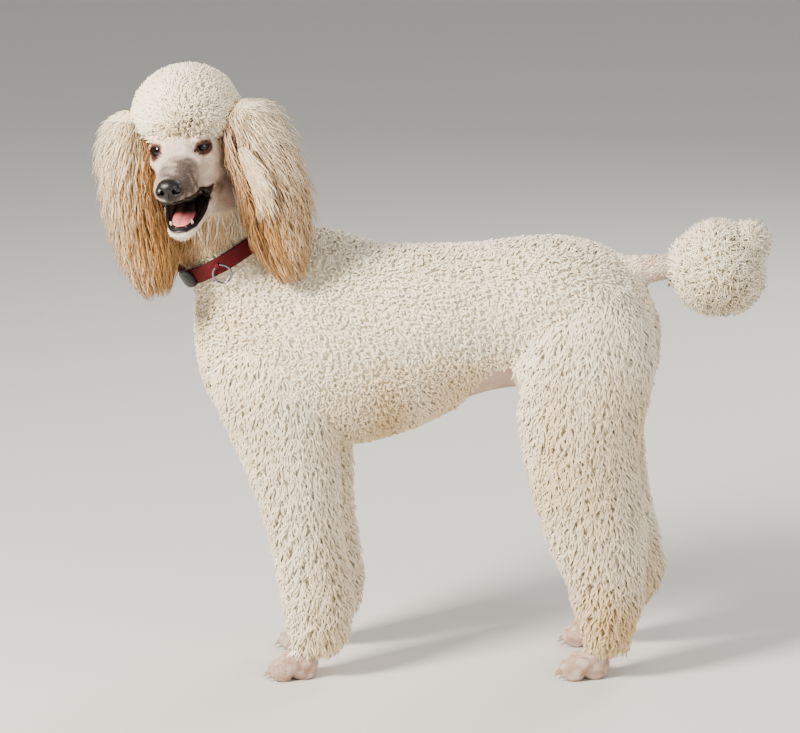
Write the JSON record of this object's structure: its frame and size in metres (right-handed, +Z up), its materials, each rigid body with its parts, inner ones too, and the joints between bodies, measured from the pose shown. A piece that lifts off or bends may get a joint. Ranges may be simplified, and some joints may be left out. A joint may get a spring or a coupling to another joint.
{
  "type": "standard poodle",
  "caption": "Life-size standing standard poodle with clipped coat, rounded topknot, long ears, tail pom and a plain collar, for display.",
  "frame": {"origin": "middle of the model's bounding box, at floor level under the paws", "axes": "+X towards the tail, with the dog's front towards -X; +Y towards the dog's right side; +Z up"},
  "size_m": [0.9154, 0.3804, 0.8628],
  "materials": {
    "coat": "cream curly hair",
    "short_coat": "clipped hair, skin showing through",
    "ear_hair": "long wavy hair, cream to pale gold",
    "nose_leather": "moist dark skin",
    "eye": "wet gloss",
    "tongue": "moist skin",
    "collar_web": "woven webbing",
    "ring_steel": "plain",
    "buckle_plastic": "satin"
  },
  "bodies": {
    "root": {"torso": "coat", "neck": "coat", "topknot": "coat", "foreleg_left": "coat", "foreleg_right": "coat", "hindleg_left": "coat", "hindleg_right": "coat", "tail_pom": "coat", "head": "short_coat", "lower_jaw": "short_coat", "paw_front_left": "short_coat", "paw_front_right": "short_coat", "paw_hind_left": "short_coat", "paw_hind_right": "short_coat", "tail_dock": "short_coat", "ear_left": "ear_hair", "ear_right": "ear_hair", "nose": "nose_leather", "eye_left": "eye", "eye_right": "eye", "tongue": "tongue", "collar": "collar_web", "collar_ring": "ring_steel", "collar_buckle": "buckle_plastic"}
  },
  "joints": []
}
